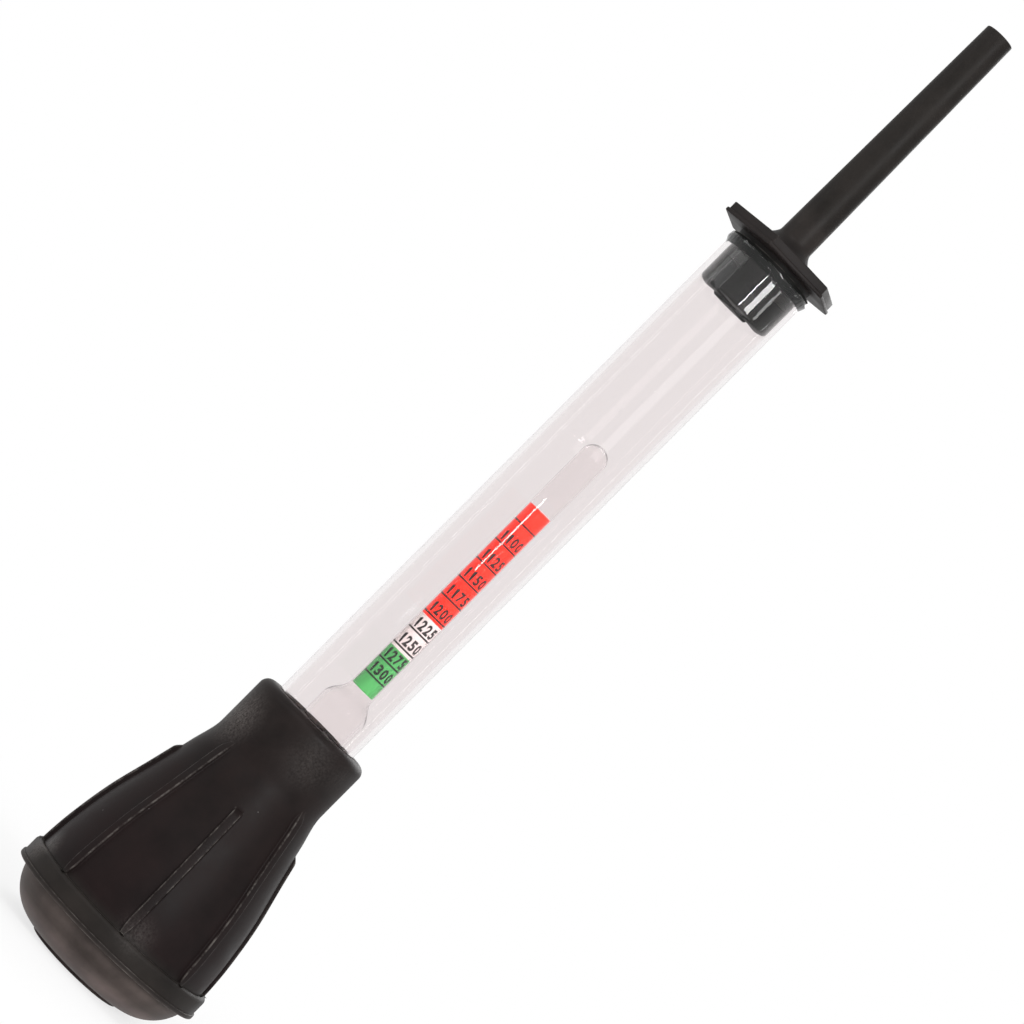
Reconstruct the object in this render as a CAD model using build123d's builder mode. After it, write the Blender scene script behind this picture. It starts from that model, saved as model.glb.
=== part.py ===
# Battery hydrometer: a rubber squeeze bulb, a glass barrel, a rubber nozzle stopper,
# and inside the barrel a sealed glass float with a paper scale and shot ballast.
# It stands upright on the foot of its bulb. Z is the barrel's axis, and the origin is
# the centre of the foot. Everything is in millimetres.

import os
from math import asin, cos, degrees, pi, radians, sin, sqrt

from build123d import *

# Fits
push_gap = 0.05  # radial room of rubber on glass
seat_gap = 0.05  # room between two faces that meet end to end
float_gap = 0.3  # room between the float and the barrel's wall
travel_gap = 0.3  # room left at each end of the float's travel
cut_overrun = 1.0

# Glass barrel
barrel_diameter = 24.0
barrel_wall = 1.35
barrel_length = 176.5
bead_swell = 0.65
bead_length = 2.8
bead_peak_share = 0.6
rim_round = 0.45

# Squeeze bulb
bulb_height = 81.0
bulb_wall = 3.2
socket_depth = 24.0
seat_thickness = 3.5
neck_wall = 4.35
neck_length = 15.0
mouth_round = 2.4
mouth_lead_in = 0.4
cone_flare = 9.5
cone_shares = [(0.17, 0.93), (0.40, 0.74), (0.63, 0.44), (0.83, 0.19)]
base_lean_share = 0.07
band_step = 1.9
band_height = 5.8
band_round = 1.2
lip_step = 0.4
lip_thickness = 1.2
dome_step = 0.2
dome_height = 10.6
dome_sag_share = 0.18
foot_diameter = 27.0
foot_height = 0.9

# Grip ribs on the bulb's cone, long and short ones by turns
rib_pairs = 4
rib_width = 2.2
rib_height = 1.0
rib_root = 1.2
rib_fade_share = 0.06
rib_start_length = 4.5
rib_start_share = 0.5
rib_point_length = 3.0
rib_point_share = 0.45
short_rib_share = 0.78
long_rib_share = 0.97
rib_turn = -12.2  # degrees, from the X axis to a short rib

# Nozzle stopper
plug_depth = 13.5
crown_round = 1.0
slot_width = 4.8
slot_depth = 7.4
crown_turn = 30.0  # degrees, so that one slot lies across the flange's corners
collar_step = 0.6
collar_height = 1.4
flange_across_flats = 30.5
flange_sides = 6
flange_thickness = 3.1
flange_edge_round = 0.3
flange_lip_step = 0.5
flange_lip_thickness = 1.0
boss_diameter = 14.8
boss_height = 3.8
boss_flare_share = 1.3
tube_base_diameter = 9.5
tip_diameter = 7.9
tip_round = 0.2
nozzle_length = 72.6
nozzle_bore = 4.5

# Glass float
body_diameter = 13.3
body_wall = 0.85
body_length = 58.6
stem_diameter = 7.2
stem_wall = 0.25
stem_length = 81.0
tip_wall = 1.3
shoulder_length = 6.7
float_bottom = 22.0  # above the foot, as it lies in the photograph
float_side = 36.0  # degrees, from the X axis to the side of the barrel that it lies on

# Scale slip inside the stem
slip_gap = 0.05
slip_thickness = 0.15
slip_length = 59.8

# Ballast inside the float
shot_diameter = 4.0
shot_gap = 0.06
shot_rings = 4
seal_thickness = 3.0

# Radii and heights that follow
barrel_radius = barrel_diameter / 2
bore_radius = barrel_radius - barrel_wall
seat_height = bulb_height - socket_depth
barrel_bottom = seat_height + seat_gap
barrel_top = barrel_bottom + barrel_length
collar_bottom = barrel_top + seat_gap
flange_bottom = collar_bottom + collar_height
flange_top = flange_bottom + flange_thickness
nozzle_tip = flange_top + nozzle_length
crown_end = collar_bottom - plug_depth

os.makedirs("parts", exist_ok=True)


def save(piece, name):
    # Name a finished piece and write its file.
    piece.label = name
    export_step(piece, f"parts/{name}.step")


# Squeeze bulb: one hollow rubber moulding, closed at the foot and open at the neck
socket_radius = barrel_radius + push_gap
neck_radius = socket_radius + neck_wall
cone_base_radius = neck_radius + cone_flare
band_radius = cone_base_radius + band_step
lip_radius = band_radius + lip_step
dome_radius = cone_base_radius - dome_step
foot_radius = foot_diameter / 2
band_bottom = dome_height
band_top = band_bottom + band_height
waist_height = bulb_height - neck_length
cavity_top = seat_height - seat_thickness


def cone_point(share, inset):
    # A point of the cone's outline, moved inwards by the inset.
    height_share, radius_share = share
    radius = neck_radius + radius_share * cone_flare - inset
    return (radius, band_top + height_share * (waist_height - band_top))


def dome_middle(top, edge):
    # The middle of the dome's arc between its top and its lower edge.
    width = top[0] - edge[0]
    rise = top[1] - edge[1]
    return (edge[0] + width / 2 + dome_sag_share * rise, edge[1] + rise / 2 - dome_sag_share * width)


def make_rib(end_share, end_width_share):
    # One rib: a bar whose top follows the cone and fades into it near the neck. Seen from
    # its front it starts narrow at the band, and narrows again where it ends.
    passed = [(0.0, 1.0)] + [share for share in cone_shares if share[0] < end_share - rib_fade_share]
    end_point = cone_point((end_share, 1.0 - end_share), rib_root)
    with BuildPart() as rib:
        with BuildSketch(Plane.XZ):
            with BuildLine():
                top = Spline(*[cone_point(share, -rib_height) for share in passed])
                root = Spline(*[cone_point(share, rib_root) for share in passed])
                Line(root @ 0, top @ 0)
                Line(top @ 1, end_point)
                Line(end_point, root @ 1)
            make_face()
        extrude(amount=rib_width / 2, both=True)
        with BuildSketch(Plane.YZ):
            with BuildLine():
                side = rib_width / 2
                end_side = side * end_width_share
                end_height = end_point[1]
                Polyline(
                    (0, band_top),
                    (side * rib_start_share, band_top),
                    (side, band_top + rib_start_length),
                    (side, end_height - rib_point_length),
                    (end_side, end_height),
                    (0, end_height),
                )
                mirror(about=Plane.YZ)
            make_face()
        extrude(amount=cone_base_radius + rib_height + cut_overrun, mode=Mode.INTERSECT)
    return rib.part


short_rib = make_rib(short_rib_share, 1.0)
long_rib = make_rib(long_rib_share, rib_point_share)

with BuildPart() as squeeze_bulb:
    with BuildSketch(Plane.XZ):
        with BuildLine():
            foot_edge = (foot_radius, foot_height)
            dome_top = (dome_radius, band_bottom)
            cone_base = (cone_base_radius, band_top)
            Polyline((0, 0), (foot_radius, 0), foot_edge)
            ThreePointArc(foot_edge, dome_middle(dome_top, foot_edge), dome_top)
            Polyline(
                dome_top,
                (lip_radius, band_bottom),
                (lip_radius, band_bottom + lip_thickness),
                (band_radius, band_bottom + lip_thickness),
                (band_radius, band_top - band_round),
            )
            band_edge = (band_radius - band_round, band_top)
            RadiusArc((band_radius, band_top - band_round), band_edge, -band_round)
            Line(band_edge, cone_base)
            waist = (neck_radius, waist_height)
            Spline(
                cone_base,
                *[cone_point(share, 0) for share in cone_shares],
                waist,
                tangents=[(-base_lean_share, 1), (0, 1)],
            )
            neck_top = (neck_radius, bulb_height - mouth_round)
            mouth_edge = (neck_radius - mouth_round, bulb_height)
            Line(waist, neck_top)
            RadiusArc(neck_top, mouth_edge, -mouth_round)
            Polyline(
                mouth_edge,
                (socket_radius + mouth_lead_in, bulb_height),
                (socket_radius, bulb_height - mouth_lead_in),
                (socket_radius, seat_height),
                (bore_radius, seat_height),
                (bore_radius, cavity_top),
            )
            cavity_base = (cone_base_radius - bulb_wall, band_top)
            Spline(
                (bore_radius, cavity_top),
                *[cone_point(share, bulb_wall) for share in reversed(cone_shares[:3])],
                cavity_base,
                tangents=[(1, -1), (0, -1)],
            )
            cavity_side = (dome_radius - bulb_wall, band_bottom)
            floor_edge = (foot_radius - bulb_wall / 2, bulb_wall)
            Line(cavity_base, cavity_side)
            ThreePointArc(cavity_side, dome_middle(cavity_side, floor_edge), floor_edge)
            Polyline(floor_edge, (0, bulb_wall), (0, 0))
        make_face()
    revolve(axis=Axis.Z)
    with PolarLocations(0, rib_pairs, start_angle=rib_turn):
        add(short_rib)
    with PolarLocations(0, rib_pairs, start_angle=rib_turn + degrees(pi / rib_pairs)):
        add(long_rib)

save(squeeze_bulb.part, "squeeze_bulb")

# Glass barrel: a plain tube, fire-polished to a bead at the nozzle's end
bead_foot = (barrel_radius, barrel_top - bead_length)
bead_peak = (barrel_radius + bead_swell, barrel_top - bead_length * (1 - bead_peak_share))
rim_outer = (barrel_radius - rim_round, barrel_top)
rim_inner = (bore_radius + rim_round, barrel_top)
bore_top = (bore_radius, barrel_top - rim_round)

with BuildPart() as glass_barrel:
    with BuildSketch(Plane.XZ):
        with BuildLine():
            Polyline(
                (bore_radius + rim_round, barrel_bottom),
                (barrel_radius - rim_round, barrel_bottom),
                (barrel_radius, barrel_bottom + rim_round),
                bead_foot,
            )
            Spline(bead_foot, bead_peak, rim_outer, tangents=[(0, 1), (-1, 0)])
            Line(rim_outer, rim_inner)
            RadiusArc(rim_inner, bore_top, -rim_round)
            Polyline(
                bore_top,
                (bore_radius, barrel_bottom + rim_round),
                (bore_radius + rim_round, barrel_bottom),
            )
        make_face()
    revolve(axis=Axis.Z)

save(glass_barrel.part, "glass_barrel")

# Nozzle stopper: a plug with a four-pronged crown, a six-sided flange that stops the tool
# from rolling, and a tapered nozzle, all one rubber moulding with a bore through it. The
# crown's slots let acid past when the float has risen against it.
plug_radius = bore_radius - push_gap
collar_radius = bore_radius + collar_step
boss_radius = boss_diameter / 2
tube_base = (tube_base_diameter / 2, flange_top + boss_height)
tip_side = (tip_diameter / 2, nozzle_tip - tip_round)
tip_edge = (tip_diameter / 2 - tip_round, nozzle_tip)
crown_edge = (plug_radius - crown_round, crown_end)
crown_side = (plug_radius, crown_end + crown_round)

with BuildPart() as nozzle_stopper:
    with BuildSketch(Plane.XZ):
        with BuildLine():
            Line((0, crown_end), crown_edge)
            RadiusArc(crown_edge, crown_side, -crown_round)
            Polyline(
                crown_side,
                (plug_radius, collar_bottom),
                (collar_radius, collar_bottom),
                (collar_radius, flange_top),
                (boss_radius, flange_top),
            )
            Spline((boss_radius, flange_top), tube_base, tangents=[(-1, boss_flare_share), (0, 1)])
            Line(tube_base, tip_side)
            RadiusArc(tip_side, tip_edge, -tip_round)
            Polyline(tip_edge, (0, nozzle_tip), (0, crown_end))
        make_face()
    revolve(axis=Axis.Z)
    with BuildSketch(Plane.XY.offset(flange_bottom)):
        RegularPolygon(flange_across_flats / 2, flange_sides, major_radius=False)
    extrude(amount=flange_thickness)
    with BuildSketch(Plane.XY.offset(flange_bottom)):
        RegularPolygon(flange_across_flats / 2 + flange_lip_step, flange_sides, major_radius=False)
    extrude(amount=flange_lip_thickness)
    flange_rims = nozzle_stopper.edges().filter_by(GeomType.LINE).filter_by(Plane.XY)
    outer_rims = flange_rims.group_by(Axis.Z)[0] + flange_rims.group_by(Axis.Z)[-1]
    fillet(outer_rims, radius=flange_edge_round)
    with BuildSketch(Plane.XY.offset(crown_end - cut_overrun)):
        with Locations(Rotation(0, 0, crown_turn)):
            Rectangle(2 * plug_radius + cut_overrun, slot_width)
            Rectangle(slot_width, 2 * plug_radius + cut_overrun)
    extrude(amount=slot_depth + cut_overrun, mode=Mode.SUBTRACT)
    with BuildSketch(Plane.XY.offset(crown_end)):
        Circle(nozzle_bore / 2)
    extrude(amount=nozzle_tip - crown_end + cut_overrun, mode=Mode.SUBTRACT)

save(nozzle_stopper.part, "nozzle_stopper")

# Glass float: a sealed envelope with a round-ended body and a slim stem. It lies on the
# barrel's wall, so its own axis is beside the barrel's.
body_radius = body_diameter / 2
body_inside = body_radius - body_wall
stem_radius = stem_diameter / 2
stem_inside = stem_radius - stem_wall
shoulder_bottom = body_radius + body_length
shoulder_top = shoulder_bottom + shoulder_length
float_length = shoulder_top + stem_length
float_offset = bore_radius - body_radius - float_gap
float_x = float_offset * cos(radians(float_side))
float_y = float_offset * sin(radians(float_side))
float_plane = Plane((float_x, float_y, float_bottom))
float_section = Plane(origin=float_plane.origin, x_dir=(1, 0, 0), z_dir=(0, -1, 0))
float_axis = Axis(float_plane.origin, (0, 0, 1))


def envelope(body, stem, bottom, top):
    # The outline from the lowest point to the tip: body, shoulder and stem.
    Line((0, top), (0, bottom))
    RadiusArc((0, bottom), (body, bottom + body), -body)
    Line((body, bottom + body), (body, shoulder_bottom))
    Spline((body, shoulder_bottom), (stem, shoulder_top), tangents=[(0, 1), (0, 1)])
    Line((stem, shoulder_top), (stem, top - stem))
    RadiusArc((stem, top - stem), (0, top), -stem)


with BuildPart() as float_glass:
    with BuildSketch(float_section):
        with BuildLine():
            envelope(body_radius, stem_radius, 0, float_length)
        make_face()
    revolve(axis=float_axis)
    with BuildSketch(float_section):
        with BuildLine():
            envelope(body_inside, stem_inside, body_wall, float_length - tip_wall)
        make_face()
    revolve(axis=float_axis, mode=Mode.SUBTRACT)

save(float_glass.part, "float_glass")

# Scale slip: printed paper rolled into a tube inside the stem
slip_radius = stem_inside - slip_gap

with BuildPart() as scale_slip:
    with BuildSketch(float_plane.offset(shoulder_top)):
        Circle(slip_radius)
        Circle(slip_radius - slip_thickness, mode=Mode.SUBTRACT)
    extrude(amount=slip_length)

save(scale_slip.part, "scale_slip")

# Ballast shot: one steel ball in the round end of the body, and rings of balls above it,
# each ring turned by half a step so that its balls lie between those below
shot_radius = shot_diameter / 2
ring_radius = body_inside - shot_radius - shot_gap
shot_pitch = shot_diameter + shot_gap
ring_shots = int(pi / asin(shot_pitch / 2 / ring_radius))
half_step = pi / ring_shots
ring_shift = 2 * ring_radius * sin(half_step / 2)
ring_rise = sqrt(shot_pitch**2 - ring_shift**2)
shot_top = body_radius + ring_rise * (shot_rings - 1) + shot_radius

with BuildPart() as ballast_shot:
    with Locations(float_plane.offset(body_radius - ring_radius)):
        Sphere(shot_radius)
    for ring in range(shot_rings):
        with Locations(float_plane.offset(body_radius + ring * ring_rise)):
            with PolarLocations(ring_radius, ring_shots, start_angle=degrees(ring * half_step)):
                Sphere(shot_radius)

save(ballast_shot.part, "ballast_shot")

# Ballast seal: a plug of wax poured on the shot to keep it in place
with BuildPart() as ballast_seal:
    with BuildSketch(float_plane.offset(shot_top + shot_gap)):
        Circle(body_inside - slip_gap)
    extrude(amount=seal_thickness)

save(ballast_seal.part, "ballast_seal")

# The travels and heights that the joints and mounts have
float_drop = float_bottom - bulb_wall - travel_gap
float_rise = crown_end - (float_bottom + float_length) - travel_gap
print("nozzle tip", round(nozzle_tip, 2), "seat", round(seat_height, 2), "barrel top", round(barrel_top, 2))
print("crown end", round(crown_end, 2), "slot root", round(crown_end + slot_depth, 2))
print("float axis", round(float_x, 2), round(float_y, 2), "tip", round(float_bottom + float_length, 2))
print("float drop", round(float_drop, 2), "rise", round(float_rise, 2), "balls in a ring", ring_shots)
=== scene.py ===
# Battery hydrometer: ribbed rubber bulb, glass barrel, rubber nozzle, weighted glass float with a paper scale

import math

import bmesh
import bpy
from mathutils import Matrix, Vector, noise
from mathutils.geometry import interpolate_bezier


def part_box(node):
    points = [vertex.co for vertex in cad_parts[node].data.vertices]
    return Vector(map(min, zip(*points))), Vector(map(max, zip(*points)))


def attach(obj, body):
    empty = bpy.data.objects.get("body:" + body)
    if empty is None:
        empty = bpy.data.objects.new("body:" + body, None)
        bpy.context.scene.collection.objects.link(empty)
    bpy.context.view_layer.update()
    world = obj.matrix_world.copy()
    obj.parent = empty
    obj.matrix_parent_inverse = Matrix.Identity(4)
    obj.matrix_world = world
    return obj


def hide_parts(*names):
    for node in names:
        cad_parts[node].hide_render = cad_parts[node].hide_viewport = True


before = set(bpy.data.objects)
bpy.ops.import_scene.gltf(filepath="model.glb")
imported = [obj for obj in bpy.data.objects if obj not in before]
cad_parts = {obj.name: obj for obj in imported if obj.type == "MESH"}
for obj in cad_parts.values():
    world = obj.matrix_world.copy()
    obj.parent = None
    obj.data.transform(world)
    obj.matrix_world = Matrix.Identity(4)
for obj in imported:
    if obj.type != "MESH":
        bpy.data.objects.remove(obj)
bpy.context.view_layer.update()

mm = 0.001
weld = 1e-6  # metres, points nearer than this become one


# Materials


def hexLinear(text):
    channels = [int(text[i:i + 2], 16) / 255 for i in (1, 3, 5)]
    linear = [c / 12.92 if c <= 0.04045 else ((c + 0.055) / 1.055) ** 2.4 for c in channels]
    return (*linear, 1.0)


def addNode(tree, kind, inputs, **settings):
    node = tree.nodes.new(kind)
    for name, value in settings.items():
        setattr(node, name, value)
    for socket, value in inputs.items():
        if isinstance(value, bpy.types.NodeSocket):
            tree.links.new(value, node.inputs[socket])
        else:
            node.inputs[socket].default_value = value
    return node


def newMaterial(name):
    material = bpy.data.materials.new(name)
    material.use_nodes = True
    material.node_tree.nodes.clear()
    return material, material.node_tree


def closeMaterial(tree, surface):
    addNode(tree, "ShaderNodeOutputMaterial", {"Surface": surface})


def setRamp(node, stops, interpolation="LINEAR"):
    ramp = node.color_ramp
    ramp.interpolation = interpolation
    while len(ramp.elements) < len(stops):
        ramp.elements.new(0.5)
    for element, (position, colour) in zip(ramp.elements, stops):
        element.position = position
        element.color = colour


def perMetre(sizeInMm):
    return 1 / (sizeInMm * mm)  # a noise scale whose features are about this size


rubberFinish = {
    # Tone by height above the foot in mm: the dome's pale and darker bands are painted light and shade on its
    # underside, the band and neck are handled
    "tones": [
        (0.0, "#524946"), (1.5, "#645956"), (3.6, "#645956"), (6.6, "#3d3633"), (8.8, "#4a423f"),
        (10.4, "#4a423f"), (11.0, "#211d1b"), (16.4, "#1e1b19"), (18.0, "#150d0d"), (60.0, "#150e0d"),
        (72.0, "#1b1615"), (84.0, "#191413"), (215.0, "#131514"), (233.4, "#131514"), (235.0, "#1f1b1a"),
        (240.5, "#1c1918"), (242.0, "#272321"), (247.0, "#272321"), (251.0, "#1d1a18"),
    ],
    "topTone": 320.0,  # mm, the height where the ramp of tones ends
    "cloudSize": 12.0,  # mm, blotches of bloom on the rubber
    "bloomNoise": (0.35, 0.68),
    "bloomShares": (0.7, 1.3),  # how far the grey bloom darkens and lightens the tone
    "glossNoise": (0.3, 0.7),
    "roughness": (0.40, 0.58),
    "specular": 0.085,
    "dust": "#8a8786",
    "dustGap": 2.6,  # mm between specks
    "dustEdge": (0.07, 0.035),  # shares of a cell where a speck starts and where it is full
    "dustChosen": (0.82, 0.95),  # only the few cells above these shares hold a speck
    "dustCover": 0.8,
    "chalk": "#77716e",
    # Places where talc still clings: centre in mm, radius in mm, how much of it
    "chalked": [
        ((-18.1, -3.7, 70.0), 11.0, 0.68), ((1.5, -18.5, 74.0), 10.0, 0.20), ((-27.9, -2.2, 16.5), 7.0, 0.70),
        ((-3.0, -26.5, 18.5), 7.0, 0.26), ((12.0, -16.0, 76.0), 7.0, 0.24),
    ],
    "chalkSize": 0.6,  # mm, the talc's grains
    "chalkNoise": (0.35, 0.75),
    "rubbedAndHighlit": "#696460",  # the grey that sharp edges take: partly rubbed wear, partly a painted highlight along them
    "rubAndHighlightSize": 2.4,  # mm, how far a rubbed and highlit stretch of an edge runs before it breaks off
    "rubAndHighlightNoise": (0.42, 0.8),
    "rubAndHighlightCover": (0.04, 0.85),
    "grainSize": 0.35,  # mm, the mould's blasted grain, drawn coarse enough to show
    "grainDepth": 0.012,  # mm
    "grainStrength": 0.35,
}


def mouldedRubber():
    # Natural rubber, compression moulded: a black satin skin with grey bloom, a few pale specks of dust,
    # sharp edges grey from wear and a painted highlight, and painted light and shade on the dome
    f = rubberFinish
    material, tree = newMaterial("mouldedNaturalRubber")
    place = addNode(tree, "ShaderNodeTexCoord", {}).outputs["Object"]
    height = addNode(tree, "ShaderNodeSeparateXYZ", {"Vector": place}).outputs["Z"]
    # The tone by height carries the dome's painted light and shade
    share = addNode(tree, "ShaderNodeMapRange", {"Value": height, "From Max": f["topTone"] * mm})
    tone = addNode(tree, "ShaderNodeValToRGB", {"Fac": share.outputs["Result"]})
    setRamp(tone, [(z / f["topTone"], hexLinear(colour)) for z, colour in f["tones"]])
    cloud = addNode(tree, "ShaderNodeTexNoise", {
        "Vector": place, "Scale": perMetre(f["cloudSize"]), "Detail": 4.0, "Roughness": 0.6})
    bloom = addNode(tree, "ShaderNodeMapRange", {
        "Value": cloud.outputs["Fac"], "From Min": f["bloomNoise"][0], "From Max": f["bloomNoise"][1],
        "To Min": f["bloomShares"][0], "To Max": f["bloomShares"][1]})
    skin = addNode(tree, "ShaderNodeVectorMath", {
        0: tone.outputs["Color"], "Scale": bloom.outputs["Result"]}, operation="SCALE").outputs["Vector"]

    cells = addNode(tree, "ShaderNodeTexVoronoi", {
        "Vector": place, "Scale": perMetre(f["dustGap"]), "Randomness": 1.0})
    speck = addNode(tree, "ShaderNodeMapRange", {
        "Value": cells.outputs["Distance"], "From Min": f["dustEdge"][0], "From Max": f["dustEdge"][1]})
    chosen = addNode(tree, "ShaderNodeMapRange", {
        "Value": cells.outputs["Color"], "From Min": f["dustChosen"][0], "From Max": f["dustChosen"][1],
        "To Max": f["dustCover"]})
    dusty = addNode(tree, "ShaderNodeMath", {
        0: speck.outputs["Result"], 1: chosen.outputs["Result"]}, operation="MULTIPLY")
    skin = addNode(tree, "ShaderNodeMix", {
        "Factor": dusty.outputs["Value"], 6: skin, 7: hexLinear(f["dust"])}, data_type="RGBA").outputs[2]

    talc = addNode(tree, "ShaderNodeTexNoise", {
        "Vector": place, "Scale": perMetre(f["chalkSize"]), "Detail": 5.0, "Roughness": 0.75})
    thick = addNode(tree, "ShaderNodeMapRange", {
        "Value": talc.outputs["Fac"], "From Min": f["chalkNoise"][0], "From Max": f["chalkNoise"][1]})
    for centre, reach, amount in f["chalked"]:
        away = addNode(tree, "ShaderNodeVectorMath", {0: place, 1: Vector(centre) * mm}, operation="DISTANCE")
        near = addNode(tree, "ShaderNodeMapRange", {
            "Value": away.outputs["Value"], "From Min": reach * mm, "From Max": 0.0, "To Max": amount},
            interpolation_type="SMOOTHSTEP")
        cover = addNode(tree, "ShaderNodeMath", {
            0: near.outputs["Result"], 1: thick.outputs["Result"]}, operation="MULTIPLY")
        skin = addNode(tree, "ShaderNodeMix", {
            "Factor": cover.outputs["Value"], 6: skin, 7: hexLinear(f["chalk"])}, data_type="RGBA").outputs[2]

    # Sharp edges turn grey in broken stretches: worn rubber, and a painted highlight along the edges
    edges = addNode(tree, "ShaderNodeAttribute", {}, attribute_name="edgeWearAndHighlight")
    breaks = addNode(tree, "ShaderNodeTexNoise", {
        "Vector": place, "Scale": perMetre(f["rubAndHighlightSize"]), "Detail": 4.0, "Roughness": 0.7})
    rubbedAndHighlit = addNode(tree, "ShaderNodeMapRange", {
        "Value": breaks.outputs["Fac"], "From Min": f["rubAndHighlightNoise"][0], "From Max": f["rubAndHighlightNoise"][1],
        "To Min": f["rubAndHighlightCover"][0], "To Max": f["rubAndHighlightCover"][1]})
    wornAndHighlit = addNode(tree, "ShaderNodeMath", {
        0: edges.outputs["Fac"], 1: rubbedAndHighlit.outputs["Result"]}, operation="MULTIPLY")
    skin = addNode(tree, "ShaderNodeMix", {
        "Factor": wornAndHighlit.outputs["Value"], 6: skin, 7: hexLinear(f["rubbedAndHighlit"])}, data_type="RGBA").outputs[2]

    gloss = addNode(tree, "ShaderNodeMapRange", {
        "Value": cloud.outputs["Fac"], "From Min": f["glossNoise"][0], "From Max": f["glossNoise"][1],
        "To Min": f["roughness"][0], "To Max": f["roughness"][1]})
    grain = addNode(tree, "ShaderNodeTexNoise", {
        "Vector": place, "Scale": perMetre(f["grainSize"]), "Detail": 3.0})
    bump = addNode(tree, "ShaderNodeBump", {
        "Height": grain.outputs["Fac"], "Strength": f["grainStrength"], "Distance": f["grainDepth"] * mm})
    shader = addNode(tree, "ShaderNodeBsdfPrincipled", {
        "Base Color": skin,
        "Roughness": gloss.outputs["Result"],
        "Specular IOR Level": f["specular"],
        "Normal": bump.outputs["Normal"],
    })
    closeMaterial(tree, shader.outputs["BSDF"])
    return material


barrelFinish = {
    "tint": "#f3efef",  # what one wall leaves of white
    "shadowTint": "#f7f2f2",
    "ior": 1.48,
    "polish": "#acacac",  # weaker than real glass's, or the white surround would veil what is behind it
    "drawLength": 120.0,  # mm along a draw line
    "drawWidth": 3.0,
    "drawDepth": 0.0005,
    "drawStrength": 0.25,
    "residue": 0.32,  # how white the dried acid on the outside is
}
floatFinish = {
    "tint": "#fcfafa",
    "shadowTint": "#fbf9f9",
    "ior": 1.48,
    "polish": "#6a6a6a",
    "drawLength": 9.0,
    "drawWidth": 3.0,
    "drawDepth": 0.003,
    "drawStrength": 0.25,
    "residue": 0.0,
}
residueFinish = {
    "centre": (-6.4, -10.15, 115.5),  # mm, the middle of the smear on the barrel
    "halfLength": 15.0,
    "halfWidth": 2.7,
    "spread": (-0.30, 0.08),  # what the smear's rim and its middle add to the noise of the flakes
    "flakeSize": 0.28,
    "flakeNoise": (0.51, 0.66),
    "speckGap": 3.5,
    "speckEdge": (0.045, 0.02),  # shares of a cell where a speck starts and where it is full
    "roughness": 0.5,
}


def driedAcid(tree, place, whiteness):
    # A smear of dried acid that breaks up into flakes, and a few specks round it: 0 where the glass is clean
    r = residueFinish
    narrow = (1.0, 1.0, r["halfWidth"] / r["halfLength"])
    centre = [c * n * mm for c, n in zip(r["centre"], narrow)]
    shrunk = addNode(tree, "ShaderNodeMapping", {"Vector": place, "Scale": narrow})
    away = addNode(tree, "ShaderNodeVectorMath", {
        0: shrunk.outputs["Vector"], 1: centre}, operation="DISTANCE")
    near = addNode(tree, "ShaderNodeMapRange", {
        "Value": away.outputs["Value"], "From Min": r["halfWidth"] * mm, "From Max": 0.0,
        "To Min": r["spread"][0], "To Max": r["spread"][1]})
    flakes = addNode(tree, "ShaderNodeTexNoise", {
        "Vector": place, "Scale": perMetre(r["flakeSize"]), "Detail": 3.0, "Roughness": 0.6})
    broken = addNode(tree, "ShaderNodeMath", {
        0: flakes.outputs["Fac"], 1: near.outputs["Result"]}, operation="ADD")
    smear = addNode(tree, "ShaderNodeMapRange", {
        "Value": broken.outputs["Value"], "From Min": r["flakeNoise"][0], "From Max": r["flakeNoise"][1]})
    cells = addNode(tree, "ShaderNodeTexVoronoi", {"Vector": place, "Scale": perMetre(r["speckGap"])})
    speck = addNode(tree, "ShaderNodeMapRange", {
        "Value": cells.outputs["Distance"], "From Min": r["speckEdge"][0], "From Max": r["speckEdge"][1]})
    dirt = addNode(tree, "ShaderNodeMath", {
        0: smear.outputs["Result"], 1: speck.outputs["Result"]}, operation="MAXIMUM")
    return addNode(tree, "ShaderNodeMath", {
        0: dirt.outputs["Value"], 1: whiteness}, operation="MULTIPLY").outputs["Value"]


def clearGlass(name, finish):
    # Drawn soda-lime tube: a polished wall, faintly pinkish grey, with shallow draw lines along it
    material, tree = newMaterial(name)
    place = addNode(tree, "ShaderNodeTexCoord", {}).outputs["Object"]
    stretch = addNode(tree, "ShaderNodeMapping", {
        "Vector": place, "Scale": (1.0, 1.0, finish["drawWidth"] / finish["drawLength"])})
    lines = addNode(tree, "ShaderNodeTexNoise", {
        "Vector": stretch.outputs["Vector"], "Scale": perMetre(finish["drawWidth"]), "Detail": 1.0})
    bump = addNode(tree, "ShaderNodeBump", {
        "Height": lines.outputs["Fac"], "Strength": finish["drawStrength"],
        "Distance": finish["drawDepth"] * mm})
    roughness, clearness = 0.0, 1.0
    if finish["residue"] > 0:
        dirt = driedAcid(tree, place, finish["residue"])
        roughness = addNode(tree, "ShaderNodeMath", {
            0: dirt, 1: residueFinish["roughness"]}, operation="MULTIPLY").outputs["Value"]
        clearness = addNode(tree, "ShaderNodeMath", {
            0: 1.0, 1: dirt}, operation="SUBTRACT").outputs["Value"]
    shader = addNode(tree, "ShaderNodeBsdfPrincipled", {
        "Base Color": hexLinear(finish["tint"]),
        "Roughness": roughness,
        "IOR": finish["ior"],
        "Specular Tint": hexLinear(finish["polish"]),
        "Transmission Weight": clearness,
        "Normal": bump.outputs["Normal"],
    })
    path = addNode(tree, "ShaderNodeLightPath", {})
    through = addNode(tree, "ShaderNodeBsdfTransparent", {"Color": hexLinear(finish["shadowTint"])})
    surface = addNode(tree, "ShaderNodeMixShader", {
        0: path.outputs["Is Shadow Ray"], 1: shader.outputs["BSDF"], 2: through.outputs["BSDF"]})
    closeMaterial(tree, surface.outputs["Shader"])
    return material


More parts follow.
